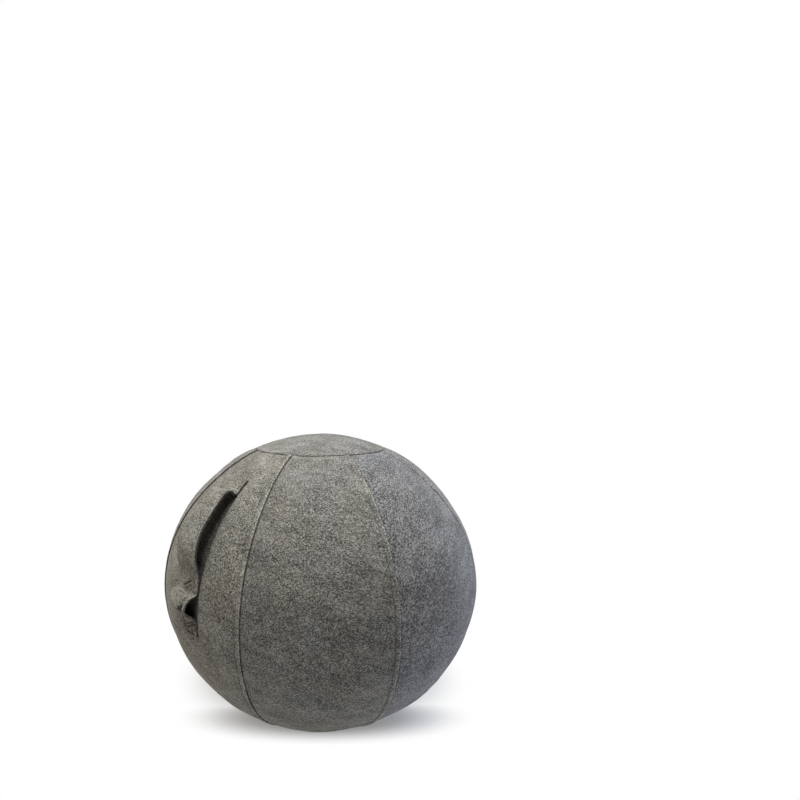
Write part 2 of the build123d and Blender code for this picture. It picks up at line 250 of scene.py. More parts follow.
def mesh_object(name, points, faces, material, sharp=50, painted_light=None):
    mesh = bpy.data.meshes.new(name)
    mesh.from_pydata(np.asarray(points).reshape(-1, 3).tolist(), [], [list(f) for f in np.asarray(faces).tolist()])
    mesh.validate()
    # Painted light: a value per point that darkens the felt for painted shade and lightens it for painted highlights.
    if painted_light is not None:
        mesh.attributes.new("painted_light", "FLOAT", "POINT").data.foreach_set("value", painted_light.astype(np.float32))
    mesh.shade_smooth()
    mesh.set_sharp_from_angle(angle=math.radians(sharp))
    mesh.materials.append(material)
    obj = bpy.data.objects.new(name, mesh)
    bpy.context.scene.collection.objects.link(obj)
    return obj


def closed_sheet(outer, inner, faces):
    """Points and quads of a sheet with two faces, closed along every open edge."""
    outer, inner = outer.reshape(-1, 3), inner.reshape(-1, 3)
    count = len(outer)
    edges = {}
    for face in faces:
        for a, b in zip(face, np.roll(face, -1)):
            key = (min(a, b), max(a, b))
            edges[key] = None if key in edges else (a, b)
    rims = [(b, a, a + count, b + count) for a, b in filter(None, edges.values())]
    both = np.concatenate([faces, faces[:, ::-1] + count, np.array(rims, int).reshape(-1, 4)])
    used, packed = np.unique(both, return_inverse=True)
    return np.concatenate([outer, inner])[used], packed.reshape(-1, 4)


def both_faces(values, faces):
    """Values of a sheet's grid for the points of its two faces, in closed_sheet's order."""
    return np.tile(values.reshape(-1)[np.unique(faces)], 2)


def grid_normals(points):
    """Unit normals of a grid of points, pointing away from the ball."""
    across = np.gradient(points, axis=1)
    along = np.gradient(points, axis=0)
    normal = np.cross(across, along)
    normal /= np.linalg.norm(normal, axis=-1)[..., None]
    out = points - np.array([0, 0, EQUATOR])
    return normal * np.sign((normal * out).sum(axis=-1).mean())


def tube(name, route, radius, material, sides=6):
    """Round thread along a route of points."""
    route = np.asarray(route)
    way = np.gradient(route, axis=0)
    way /= np.linalg.norm(way, axis=1)[:, None]
    up = route - np.array([0, 0, EQUATOR])
    side = np.cross(way, up)
    side /= np.linalg.norm(side, axis=1)[:, None]
    up = np.cross(side, way)
    turn = np.linspace(0, 2 * math.pi, sides, endpoint=False)
    ring = np.cos(turn)[None, :, None] * side[:, None] + np.sin(turn)[None, :, None] * up[:, None]
    points = route[:, None] + radius * ring
    return mesh_object(name, points, grid_faces(len(route), sides, wrap=True), material)


# Materials


def new_material(name):
    material = bpy.data.materials.new(name)
    material.use_nodes = True
    tree = material.node_tree
    shader = tree.nodes["Principled BSDF"]
    return material, tree, shader


def node(tree, kind, **values):
    made = tree.nodes.new(kind)
    for key, value in values.items():
        if key in made.inputs:
            made.inputs[key].default_value = value
        else:
            setattr(made, key, value)
    return made


def ramp(tree, source, stops):
    """Colour ramp over a value: stops of (position, colour)."""
    made = tree.nodes.new("ShaderNodeValToRGB")
    elements = made.color_ramp.elements
    while len(elements) < len(stops):
        elements.new(0.5)
    for element, (position, colour) in zip(elements, stops):
        element.position = position
        element.color = (*colour, 1)
    tree.links.new(source, made.inputs["Fac"])
    return made


def spread(tree, source, start, end, low, high):
    """Value mapped from one range to another."""
    made = tree.nodes.new("ShaderNodeMapRange")
    for key, value in (("From Min", start), ("From Max", end), ("To Min", low), ("To Max", high)):
        made.inputs[key].default_value = value
    tree.links.new(source, made.inputs["Value"])
    return made.outputs["Result"]


def noise(tree, vector, scale, detail=3.0, roughness=0.6, distortion=0.0):
    made = node(tree, "ShaderNodeTexNoise", Scale=scale, Detail=detail, Roughness=roughness, Distortion=distortion)
    tree.links.new(vector, made.inputs["Vector"])
    return made.outputs["Fac"]


def calculate(tree, operation, a, b):
    made = tree.nodes.new("ShaderNodeMath")
    made.operation = operation
    for index, value in enumerate((a, b)):
        if isinstance(value, (int, float)):
            made.inputs[index].default_value = value
        else:
            tree.links.new(value, made.inputs[index])
    return made.outputs["Value"]


def felt_material(name, shade, azimuth, seed, size=1.0, slope=-28.0, painted_light_cast=NEUTRAL):
    """Melange wool felt: fibres of several greys that lie mostly one way, cloudy patches, a soft nap. Its shade
    darkens a whole copy for painted shade, its painted light cast tints it as warm or cool light would, and the
    painted_light attribute darkens it for painted shade and lightens it for painted highlights.
    """
    material, tree, shader = new_material(name)
    link = tree.links.new
    coordinates = tree.nodes.new("ShaderNodeTexCoord")
    even = node(tree, "ShaderNodeMapping", vector_type="TEXTURE")
    grain = node(tree, "ShaderNodeMapping", vector_type="TEXTURE")
    for mapping in (even, grain):
        mapping.inputs["Location"].default_value = (seed * 0.37, seed * 0.61, seed * 0.23)
        mapping.inputs["Rotation"].default_value = (math.radians(slope), 0, math.radians(azimuth))
        link(coordinates.outputs["Object"], mapping.inputs["Vector"])
    even.inputs["Scale"].default_value = (size, size, size)
    grain.inputs["Scale"].default_value = (size, size * FIBRE_STRETCH, size)
    even, grain = even.outputs["Vector"], grain.outputs["Vector"]
    fibre = noise(tree, grain, FIBRE_SCALE, 3.0, 0.62, 0.5)
    speck = noise(tree, even, SPECK_SCALE, 3.0, 0.6, 0.4)
    hairs = spread(tree, noise(tree, grain, HAIR_SCALE, 1.0, 0.5, 1.5), 0.66, 0.76, 0.0, 0.05)
    mixed = calculate(tree, "ADD", calculate(tree, "MULTIPLY", fibre, 0.5), calculate(tree, "MULTIPLY", speck, 0.5))
    mixed = calculate(tree, "ADD", mixed, hairs)
    mottle = noise(tree, grain, MOTTLE_SCALE, 2.0)
    clouds = calculate(tree, "MULTIPLY", noise(tree, grain, CLOUD_SCALE), 1.2)
    patch = calculate(tree, "ADD", mottle, clouds)
    value = calculate(tree, "ADD", mixed, spread(tree, patch, 0.7, 1.5, -0.036, 0.036))
    stops = [(0.422, FELT_DARK), (0.50, FELT_MIDDLE), (0.578, FELT_LIGHT)]
    colours = ramp(tree, value, [(at, tuple(shade * c * k for c, k in zip(colour, painted_light_cast))) for at, colour in stops])
    tints = [(0.38, (1.015, 1.0, 0.98)), (0.62, (0.985, 1.0, 1.02))]
    tint = ramp(tree, noise(tree, even, TINT_SCALE, 2.0), tints)
    tinted = node(tree, "ShaderNodeMix", data_type="RGBA", blend_type="MULTIPLY")
    tinted.inputs["Factor"].default_value = 1.0
    link(colours.outputs["Color"], tinted.inputs["A"])
    link(tint.outputs["Color"], tinted.inputs["B"])
    # The colour is scaled by the painted light attribute: painted shade below zero, painted highlight above.
    painted_light = node(tree, "ShaderNodeAttribute", attribute_name="painted_light")
    with_painted_light = node(tree, "ShaderNodeVectorMath", operation="SCALE")
    link(tinted.outputs["Result"], with_painted_light.inputs[0])
    link(calculate(tree, "ADD", painted_light.outputs["Fac"], 1.0), with_painted_light.inputs["Scale"])
    link(with_painted_light.outputs["Vector"], shader.inputs["Base Color"])
    nap = calculate(tree, "ADD", noise(tree, even, NAP_SCALE, 4.0, 0.65, 0.8), fibre)
    bump = node(tree, "ShaderNodeBump", Strength=0.8, Distance=0.0012)
    link(nap, bump.inputs["Height"])
    link(bump.outputs["Normal"], shader.inputs["Normal"])
    shader.inputs["Roughness"].default_value = 0.92
    shader.inputs["Specular IOR Level"].default_value = 0.15
    shader.inputs["Sheen Weight"].default_value = 0.22
    shader.inputs["Sheen Roughness"].default_value = 0.35
    shader.inputs["Sheen Tint"].default_value = (0.95, 0.94, 0.9, 1)
    return material


def cloth_material(name, colour, thread, roughness=0.85):
    """Plain woven cloth: crossing threads of a pitch, as bump and as slight shade."""
    material, tree, shader = new_material(name)
    link = tree.links.new
    place_node = tree.nodes.new("ShaderNodeTexCoord")
    total = None
    for direction in ("X", "Y", "Z"):
        wave = node(tree, "ShaderNodeTexWave", bands_direction=direction, Scale=math.pi / thread / 10, Distortion=0.4)
        wave.inputs["Detail"].default_value = 1.0
        link(place_node.outputs["Object"], wave.inputs["Vector"])
        if total is None:
            total = wave.outputs["Fac"]
        else:
            joined = node(tree, "ShaderNodeMath", operation="MULTIPLY_ADD")
            link(wave.outputs["Fac"], joined.inputs[0])
            joined.inputs[1].default_value = 1.0
            link(total, joined.inputs[2])
            total = joined.outputs["Value"]
    low = tuple(0.7 * c for c in colour)
    high = tuple(1.2 * c for c in colour)
    colours = ramp(tree, spread(tree, total, 0, 3, 0, 1), [(0.2, low), (0.8, high)])
    link(colours.outputs["Color"], shader.inputs["Base Color"])
    bump = node(tree, "ShaderNodeBump", Strength=0.5, Distance=thread / 3)
    link(total, bump.inputs["Height"])
    link(bump.outputs["Normal"], shader.inputs["Normal"])
    shader.inputs["Roughness"].default_value = roughness
    shader.inputs["Sheen Weight"].default_value = 0.1
    return material


def plain_material(name, colour, roughness, metallic=0.0, grain=0.0):
    """Smooth solid material, with a fine unevenness of its roughness."""
    material, tree, shader = new_material(name)
    link = tree.links.new
    shader.inputs["Base Color"].default_value = (*colour, 1)
    shader.inputs["Metallic"].default_value = metallic
    place_node = tree.nodes.new("ShaderNodeTexCoord")
    uneven = noise(tree, place_node.outputs["Object"], 260.0)
    link(spread(tree, uneven, 0, 1, roughness - 0.08, roughness + 0.08), shader.inputs["Roughness"])
    if grain:
        bump = node(tree, "ShaderNodeBump", Strength=0.3, Distance=grain)
        link(uneven, bump.inputs["Height"])
        link(bump.outputs["Normal"], shader.inputs["Normal"])
    return material


# Slope of the fibres, painted light cast and coarseness, panel by panel
slopes = [-28.0, -24.0, 40.0, -20.0, 35.0, -30.0, 25.0, -15.0]
painted_light_casts = [PAINTED_WARM_LIGHT, NEUTRAL, PAINTED_COOL_LIGHT] + [NEUTRAL] * (PANELS - 3)
sizes = [1.1, 1.0, 1.25, 1.1, 1.2, 1.0, 1.1, 1.1]
felts = [felt_material(f"felt_{k}", 1.0, HANDLE_AZIMUTH + k * PANEL_ANGLE, k + 1, sizes[k], slopes[k], painted_light_casts[k])
         for k in range(PANELS)]
cap_felt = felt_material("felt_cap", 1.0, CAMERA_AZIMUTH, 17)
# The strap's felt carries the painted warm light cast too.
strap_felt = felt_material("felt_strap", 1.0, HANDLE_AZIMUTH, 9, size=1.2, painted_light_cast=PAINTED_WARM_LIGHT)
# Painted shade: darker copies of the strap's felt for its cut edges and its under face.
strap_edge_painted_shade = felt_material("felt_strap_edge_painted_shade", 0.6, HANDLE_AZIMUTH, 11)
strap_under_painted_shade = felt_material("felt_strap_under_painted_shade", 0.18, HANDLE_AZIMUTH, 12)
# Painted shade: the backing is the same felt, darkened to read as the shadow under the arch.
backing_felt_painted_shade = felt_material("felt_backing_painted_shade", 0.55, HANDLE_AZIMUTH, 13)
thread_material = cloth_material("sewing_thread", (0.075, 0.074, 0.07), 0.0006)
base_cloth = cloth_material("base_cloth", (0.030, 0.030, 0.031), 0.0011)
webbing = cloth_material("webbing", (0.020, 0.020, 0.020), 0.0016)
zip_cloth = cloth_material("zip_tape_cloth", (0.022, 0.022, 0.023), 0.0008)
tape_cloth = cloth_material("seam_tape_cloth", (0.10, 0.10, 0.10), 0.0008)
coil_plastic = plain_material("zip_coil_plastic", (0.018, 0.018, 0.019), 0.4)
zip_metal = plain_material("zip_metal", (0.32, 0.32, 0.33), 0.34, metallic=1.0)
bladder_vinyl = plain_material("bladder_vinyl", (0.34, 0.35, 0.36), 0.42, grain=0.0004)
plug_plastic = plain_material("plug_plastic", (0.72, 0.72, 0.70), 0.38)

# Felt panels

swell = Waves(3, 0.07, 0.22)
ripple = Waves(5, 0.018, 0.05)
pucker = Waves(7, 0.010, 0.022, dims=2)


def groove(distance, depth=GROOVE_DEPTH):
    return -depth * np.exp(-((distance / GROOVE_WIDTH) ** 2))


def welt(distance, run):
    """Turned seam allowance under the felt: a low ridge beside the seam, held by a row of stitches."""
    rise = np.exp(-((distance / (1.1 * STITCH_LINE)) ** 2))
    dimple = 0.65 + 0.35 * np.cos(2 * math.pi * run / STITCH_PITCH)
    line = np.exp(-(((distance - STITCH_LINE) / STITCH_DENT_WIDTH) ** 2)) * dimple
    return WELT_HEIGHT * rise - STITCH_DENT * line


def panel_height(offset, angle, azimuth):
    """Height of a gore's face over the plain cover, from its seams and its unevenness."""
    r, _ = profile(angle, 0.0)
    run = arc_length(angle)
    half = PANEL_ANGLE / 2
    right = np.radians(half - offset) * r
    left = np.radians(half + offset) * r
    top = arc_length(CAP_ANGLE) - run
    low = run - arc_length(PANEL_LOW)
    near = np.exp(-(np.minimum(right, left) / 0.012) ** 2)
    at = place(azimuth + offset, angle, 0.0)
    uneven = PANEL_SWELL * swell.at(at) + PANEL_RIPPLE * ripple.at(at)
    side = np.stack([run + 0 * offset, np.sign(offset) * 0.4 + azimuth + 0 * run], axis=-1)
    wavy = 1 + 0.3 * pucker.at(side)
    total = uneven * (1 - 0.6 * near)
    total += groove(right) * wavy + groove(left, LAP_DEPTH) + welt(right, run)
    total += groove(top) + groove(low, BASE_GROOVE_DEPTH)
    return np.maximum(total, PANEL_LOWEST)


def bell(value, middle, width):
    return np.exp(-(((value - middle) / width) ** 2))


def panel_painted_light(offset, angle, gap):
    """Painted light on a gore's felt beside its seams: painted shade in the seam crevices and along the stitch line,
    a painted highlight on the turned edge and a fainter one over the welt.
    """
    r, _ = profile(angle, 0.0)
    half = PANEL_ANGLE / 2
    right = np.radians(half - offset) * r
    left = np.radians(half + offset) * r
    top = arc_length(CAP_ANGLE) - arc_length(angle)
    crevice_painted_shade = np.maximum(np.maximum(bell(right, 0, gap), bell(left, 0, 0.0004)), bell(top, 0, SEAM_GAP))
    edge_painted_highlight = 0.9 * bell(right, gap + 0.0010, 0.0006) + 0.10 * (right < STITCH_LINE) * (right > 0.0015)
    return edge_painted_highlight - 0.15 * bell(right, STITCH_LINE, 0.0011) - 0.8 * crevice_painted_shade


def columns_of(half_angle, windows):
    """Azimuth offsets across a gore, close together at its seams and at the handle's slits (steps in mm)."""
    steps = [0, 0.25, 0.5, 0.8, 1.1, 1.5, 2.0, 3.0, 4.6, 6.6, 8.0, 8.8, 9.5, 10.2, 11.2]
    steps += [14, 19, 26, 36, 48, 62, 78, 94, 110]
    edge = np.degrees(np.array(steps) / 1000 / BALL_RADIUS)
    offsets = np.concatenate([-half_angle + edge, [0.0], half_angle - edge])
    if windows:
        fine = np.degrees(np.array([0, 0.6, 1.5, 3, 5, 8, 12, 18]) / 1000 / BALL_RADIUS)
        slit = SLIT_ANGLE + fine
        offsets = offsets[np.abs(np.abs(offsets) - SLIT_ANGLE - fine[-1] / 2) > fine[-1] / 2 + 0.4]
        offsets = np.concatenate([offsets, slit, -slit])
    return np.unique(np.round(offsets, 6))


def cover_gore(name, azimuth, material, window, gap):
    half = PANEL_ANGLE / 2 - math.degrees(0.00015 / BALL_RADIUS)
    offsets = columns_of(half, window)
    angles = np.linspace(PANEL_LOW, CAP_ANGLE - 0.02, 230)
    ends = np.degrees(np.array([0.5, 1.2, 2.0, 3.0, 4.5]) / 1000 / CROWN)
    angles = np.concatenate([angles, CAP_ANGLE - ends, PANEL_LOW + ends])
    if window:
        angles = angles[np.abs(angles - WINDOW_LOW) > 0.25]
        angles = angles[np.abs(angles - WINDOW_HIGH) > 0.25]
        angles = np.concatenate([angles, [WINDOW_LOW, WINDOW_HIGH]])
    angles = np.unique(angles)
    offset, angle = np.meshgrid(offsets, angles)
    height = panel_height(offset, angle, azimuth)
    painted_light = panel_painted_light(offset, angle, gap)
    if window:
        r, _ = profile(angle, 0.0)
        side = np.radians(np.maximum(np.abs(offset) - SLIT_ANGLE, 0)) * r
        run = arc_length(angle)
        beyond = np.maximum(np.maximum(run - arc_length(WINDOW_HIGH), arc_length(WINDOW_LOW) - run), 0)
        away = np.hypot(side, beyond)
        height = np.maximum(height - SLIT_DIP * bell(away, 0, SLIT_DIP_REACH), SLIT_LOWEST)
        # Painted shade along the edges of the handle window's slits.
        painted_light -= 0.6 * bell(away, 0, SEAM_GAP)
    outer = place(azimuth + offset, angle, height)
    inner = place(azimuth + offset, angle, np.full_like(height, -FELT))
    faces = grid_faces(len(angles), len(offsets))
    if window:
        column = faces[:, 0] % len(offsets)
        row = faces[:, 0] // len(offsets)
        tiny = 1e-6
        in_columns = (offsets[column] >= -SLIT_ANGLE - tiny) & (offsets[column + 1] <= SLIT_ANGLE + tiny)
        in_rows = (angles[row] >= WINDOW_LOW - tiny) & (angles[row + 1] <= WINDOW_HIGH + tiny)
        faces = faces[~(in_columns & in_rows)]
    points, quads = closed_sheet(outer, inner, faces)
    return mesh_object(name, points, quads, material, painted_light=both_faces(painted_light, faces))


def gore_area():
    angles = np.linspace(PANEL_LOW, CAP_ANGLE, 400)
    r, _ = profile(angles, 0.0)
    run = arc_length(angles)
    return float(np.sum((r[1:] + r[:-1]) / 2 * np.diff(run)) * math.radians(PANEL_ANGLE))


GORE_LENGTH = float(arc_length(CAP_ANGLE) - arc_length(PANEL_LOW))
GORE_AREA = gore_area()


def stitch_row(name, azimuth):
    """Topstitches beside a seam: short threads that dip into the felt between them."""
    low = float(arc_length(PANEL_LOW)) + STITCH_MARGIN
    high = float(arc_length(CAP_ANGLE)) - STITCH_MARGIN
    fine = np.linspace(PANEL_LOW, CAP_ANGLE, 2000)
    count = int((high - low) / STITCH_PITCH)
    points, faces = [], []
    ring = np.linspace(0, 2 * math.pi, STITCH_SIDES, endpoint=False)
    for index in range(count):
        middle = round((low + (index + 0.5) * STITCH_PITCH) / STITCH_PITCH) * STITCH_PITCH + STITCH_PITCH / 2
        run = middle + np.linspace(-0.5, 0.5, STITCH_RINGS) * STITCH_LENGTH
        angle = np.interp(run, arc_length(fine), fine)
        r, _ = profile(angle, 0.0)
        offset = PANEL_ANGLE / 2 - np.degrees(STITCH_LINE / r)
        sag = panel_height(offset, angle, azimuth)
        lift = np.array([-0.0004, 0.0002, 0.0004, 0.0004, 0.0002, -0.0004])
        route = place(azimuth + offset, angle, sag + lift)
        way = route[-1] - route[0]
        way /= np.linalg.norm(way)
        up = route[2] - np.array([0, 0, EQUATOR])
        side = np.cross(way, up)
        side /= np.linalg.norm(side)
        up = np.cross(side, way)
        body = route[:, None] + THREAD_RADIUS * (
            np.cos(ring)[None, :, None] * side + np.sin(ring)[None, :, None] * up)
        points.append(body.reshape(-1, 3))
        faces.append(grid_faces(STITCH_RINGS, STITCH_SIDES, wrap=True) + STITCH_RINGS * STITCH_SIDES * index)
    return mesh_object(name, np.concatenate(points), np.concatenate(faces), thread_material)


panel_names = ["handle_panel"] + [f"cover_panel_{k}" for k in range(1, PANELS)]
for k, cad_name in enumerate(panel_names):
    centre = HANDLE_AZIMUTH + k * PANEL_ANGLE
    gap = OPEN_SEAM_GAP if k == PANELS - 1 else SEAM_GAP
    gore = cover_gore(f"felt_{cad_name}", centre, felts[k], window=k == 0, gap=gap)
    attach(gore, "ball")
    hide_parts(cad_name)
    stitches = stitch_row(f"topstitch_{k + 1}", centre)
    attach(stitches, "ball")
    area = GORE_AREA
    if k == 0:
        run = float(arc_length(WINDOW_HIGH) - arc_length(WINDOW_LOW))
        area -= run * math.radians(2 * SLIT_ANGLE) * WINDOW_MEAN_RADIUS

# Top cap


def top_cap():
    edge = CAP_ANGLE + math.degrees(0.0003 / CROWN)
    steps = np.concatenate([np.linspace(89.6, edge + 1.2, 26), edge + np.array([0.8, 0.5, 0.3, 0.15, 0.05, 0.0])])
    turns = np.linspace(0, 360, 128, endpoint=False)
    azimuth, angle = np.meshgrid(turns, steps)
    at = place(azimuth, angle, 0.0)
    rim = arc_length(angle) - arc_length(CAP_ANGLE)
    height = CAP_SWELL * swell.at(at) + CAP_RIPPLE * ripple.at(at) + groove(rim)
    height = np.maximum(height, CAP_LOWEST)
    outer = place(azimuth, angle, height)
    inner = place(azimuth, angle, np.full_like(height, -FELT))
    faces = grid_faces(len(steps), len(turns), wrap=True)
    points, quads = closed_sheet(outer, inner, faces)
    # Painted shade in the crevice of the seam round the cap.
    painted_light = both_faces(-0.75 * bell(rim, 0, SEAM_GAP), faces)
    return mesh_object("felt_top_cap", points, quads, cap_felt, painted_light=painted_light)


cap = top_cap()
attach(cap, "ball")
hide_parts("top_cap")

# Base panel, hinge strip and zip


def base_panel():
    flat = np.linspace(0.002, FOOT, 16)
    rise = np.linspace(FOOT_ANGLE, BASE_HIGH, 14)[1:]
    r_up, z_up = profile(rise, 0.0)
    r = np.concatenate([flat, r_up])
    z = np.concatenate([0 * flat, z_up])
    slope = np.concatenate([np.full(len(flat), -90.0), rise])
    turns = np.linspace(0, 360, 128, endpoint=False)
    turn, radius = np.meshgrid(np.radians(turns), r)
    _, height = np.meshgrid(turns, z)
    _, tilt = np.meshgrid(turns, np.radians(slope))
    outer = np.stack([radius * np.cos(turn), radius * np.sin(turn), height], axis=-1)
    in_r, in_z = radius - FELT * np.cos(tilt), height - FELT * np.sin(tilt)
    inner = np.stack([in_r * np.cos(turn), in_r * np.sin(turn), in_z], axis=-1)
    faces = grid_faces(len(r), len(turns), wrap=True)[:, ::-1]
    points, quads = closed_sheet(outer, inner, faces)
    return mesh_object("cloth_base_panel", points, quads, base_cloth)


def zone(name, low, high, start, sweep, top, under, material, rows=8, columns=150):
    """Strip of cloth along the cover between two normal angles, over part of a turn."""
    azimuth, angle = np.meshgrid(np.linspace(start, start + sweep, columns), np.linspace(low, high, rows))
    outer = place(azimuth, angle, np.full_like(angle, -top))
    inner = place(azimuth, angle, np.full_like(angle, -under))
    points, quads = closed_sheet(outer, inner, grid_faces(rows, columns))
    return mesh_object(name, points, quads, material)


base = base_panel()
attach(base, "ball")
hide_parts("base_panel")
base_reach = float(FOOT + arc_length(BASE_HIGH) - arc_length(FOOT_ANGLE))

strip_start = ZIP_START + ZIP_SWEEP
strip = zone("cloth_base_hinge_strip", BASE_HIGH + 0.03, PANEL_LOW - 0.03, strip_start + 0.1, 360 - ZIP_SWEEP - 0.2,
             0.0, FELT, base_cloth, rows=8, columns=60)
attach(strip, "ball")
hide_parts("base_hinge_strip")


def coil(name, side):
    """Coiled monofilament along one edge of the zip."""
    sweep = ZIP_SWEEP - 2 * math.degrees((STOP_LENGTH + STOP_MARGIN) / ZIP_RADIUS)
    turns = math.radians(sweep) * ZIP_RADIUS / COIL_PITCH
    count = int(turns * 10)
    way = np.linspace(0, 1, count)
    phase = 2 * math.pi * turns * way
    middle = side * (COIL_GAP / 2 + COIL_WIDTH / 2) + (COIL_WIDTH / 2 - COIL_WIRE) * np.cos(phase)
    depth = FELT - COIL_HEIGHT / 2 - (COIL_HEIGHT / 2 - COIL_WIRE) * np.sin(phase)
    azimuth = ZIP_START + ZIP_SWEEP / 2 + sweep * (way - 0.5)
    route = place(azimuth, ZIP_ANGLE + np.degrees(middle / BOTTOM), -depth)
    return tube(name, route, COIL_WIRE, coil_plastic, sides=5)


for side, word in ((1, "outer"), (-1, "inner")):
    near = ZIP_ANGLE + side * math.degrees(COIL_GAP / 2 / BOTTOM)
    far = ZIP_ANGLE + side * math.degrees(ZIP_TAPE / BOTTOM)
    tape = zone(f"woven_zip_tape_{word}", min(near, far), max(near, far), ZIP_START, ZIP_SWEEP,
                ZIP_TAPE_TOP, ZIP_TAPE_UNDER, zip_cloth, rows=6)
    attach(tape, "ball")
    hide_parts(f"zip_tape_{word}")
    made = coil(f"zip_spiral_{word}", side)
    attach(made, "ball")
    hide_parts(f"zip_coil_{word}")

# Handle

# Under face of the strap: normal angle, then height over the cover in mm at its near and at its far edge.
STRAP_ROUTE = [
    (55.2, -2.6, -2.6), (53.0, -2.6, -2.6), (51.2, -2.6, -2.6), (49.9, -1.4, -1.4), (49.3, 3.0, 3.0),
    (49.2, 9.5, 9.0), (48.5, 14.6, 13.8), (46.6, 17.2, 16.2), (43.6, 18.6, 17.4), (40.5, 20.2, 18.8),
    (37.3, 22.0, 20.2), (34.6, 22.2, 20.2), (32.3, 21.3, 19.2), (30.1, 19.0, 16.8), (27.9, 15.2, 13.2),
    (26.1, 10.8, 9.4), (24.6, 6.0, 5.4), (23.4, 2.2, 2.2), (21.8, -0.8, -0.6), (19.4, -1.8, -1.8),
    (17.4, -2.2, -2.2), (16.3, -1.0, -1.8), (15.7, 5.5, 1.0), (15.1, 12.5, 4.4), (14.2, 17.0, 6.8),
    (13.0, 20.2, 8.2), (11.9, 21.0, 8.6), (10.7, 16.0, 7.0), (9.4, 5.5, 3.0), (8.2, -0.8, -0.8),
    (6.8, -2.2, -2.4), (4.4, -2.6, -2.6), (2.1, -2.6, -2.6),
]


def spline(knots, values, at):
    """Smooth curve through values at knots, with slopes that don't overshoot."""
    step = np.diff(knots)
    slope = np.diff(values, axis=0) / step[:, None]
    tangent = np.zeros_like(values)
    tangent[1:-1] = (slope[:-1] * step[1:, None] + slope[1:] * step[:-1, None]) / (step[1:] + step[:-1])[:, None]
    tangent[0], tangent[-1] = slope[0], slope[-1]
    index = np.clip(np.searchsorted(knots, at, side="right") - 1, 0, len(step) - 1)
    gap = step[index][:, None]
    t = ((at - knots[index]) / step[index])[:, None]
    a, b = values[index], values[index + 1]
    ma, mb = tangent[index] * gap, tangent[index + 1] * gap
    ends = (2 * t**3 - 3 * t**2 + 1) * a + (3 * t**2 - 2 * t**3) * b
    return ends + (t**3 - 2 * t**2 + t) * ma + (t**3 - t**2) * mb


def strap_surface():
    """Grid of the strap's under face: rows down the strap, columns from its far to its near edge."""
    route = np.array(STRAP_ROUTE)
    run = 1000 * arc_length(route[:, 0])
    chord = np.hypot(np.diff(run), np.diff(route[:, 1]))
    knots = np.concatenate([[0], np.cumsum(chord)])
    at = np.linspace(0, knots[-1], 400)
    values = spline(knots, route, at)
    across = np.linspace(-1, 1, 97)
    t, angle = np.meshgrid(across, values[:, 0])
    share = (0.5 + 0.5 * t) ** 0.8
    height = (values[:, 2][:, None] * (1 - share) + values[:, 1][:, None] * share) / 1000
    height += fold_creases(t, angle) + pouch(t, angle)
    half = SLIT_ANGLE - math.degrees(SLIT_GAP / BALL_RADIUS)
    azimuth = HANDLE_AZIMUTH + half * t
    return values, t, azimuth, angle, height


def ramp_up(value, width):
    return 1 / (1 + np.exp(-np.clip(value / width, -60, 60)))


def fold_creases(t, angle):
    """Curled lip of the second fold with a hollow behind it, and the overlap where the arch comes down."""
    hollow = -0.003 * bell(angle, 11.8, 1.7) * bell(t, 0.70, 0.13)
    lip = hollow + 0.003 * bell(angle, 12.0, 1.8) * bell(t, 0.42, 0.16)
    above = angle - 18.9 - 4.0 * t
    overlap = 0.0036 * ramp_up(above, 0.15) * np.exp(-np.maximum(above, 0) / 1.9)
    overlap += 0.0012 * bell(above, -0.9, 0.5)
    return lip + overlap * bell(t, 0.15, 0.45)


def pouch(t, angle):
    """Slack below the second fold, gathered at the strap's lower end towards the near slit."""
    top = 3.4 + 4.8 * t
    inside = ramp_up(top - angle, 0.3) * ramp_up(angle - 3.0, 0.3) * ramp_up(t + 0.3, 0.06)
    return 0.0016 * inside * (1 - np.exp(-(1 - t) / 0.12))


# Creases and pleats of the strap's face: half width and depth in mm, then points of (place across, normal angle).
CREASES = [
    (1.4, 2.0, (0.50, 20.9), (0.10, 19.2), (-0.33, 17.6)),
    (4.2, 2.7, (0.74, 13.4), (0.60, 12.2), (0.56, 11.2), (0.62, 10.2)),
    (0.9, 2.4, (0.97, 7.9), (0.55, 6.4), (0.10, 4.85)),
    (0.9, 2.4, (0.98, 7.0), (0.62, 5.6), (0.34, 4.2)),
    (1.4, 2.7, (-0.26, 2.8), (0.30, 2.5), (0.90, 2.5)),
    (0.9, 2.4, (0.30, 4.6), (0.46, 2.3)),
    (0.9, 2.4, (0.62, 5.4), (0.80, 2.3)),
]
PLEATS = [
    (1.2, 1.4, (0.92, 8.5), (0.45, 6.9), (-0.03, 5.3)),
    (0.9, 1.2, (1.0, 7.45), (0.60, 6.0), (0.24, 4.6)),
    (1.6, 2.4, (-0.30, 7.2), (-0.10, 5.2), (0.10, 3.4)),
    (1.6, 1.2, (0.36, 13.6), (0.30, 12.0), (0.32, 10.6)),
]


def line_depth(lines, t, angle):
    """Depth of narrow creases, or height of pleats, in the strap's outer face; they run out at their ends."""
    half_width = math.radians(SLIT_ANGLE) * BALL_RADIUS
    at = np.stack([t * half_width, arc_length(angle)], axis=-1)
    depth = np.zeros_like(t)
    for width, deep, *line in lines:
        nodes = np.array([(across * half_width, arc_length(a)) for across, a in line])
        run = np.concatenate([[0], np.cumsum(np.linalg.norm(np.diff(nodes, axis=0), axis=1))])
        for a, b, before in zip(nodes, nodes[1:], run):
            share = np.clip(((at - a) @ (b - a)) / ((b - a) @ (b - a)), 0, 1)
            aside = np.linalg.norm(at - a - share[..., None] * (b - a), axis=-1)
            along = (before + share * np.linalg.norm(b - a)) / run[-1]
            taper = 1 - 0.75 * np.abs(2 * along - 1) ** 3
            depth = np.maximum(depth, deep / 1000 * taper * bell(aside, 0, width / 1000))
    return depth


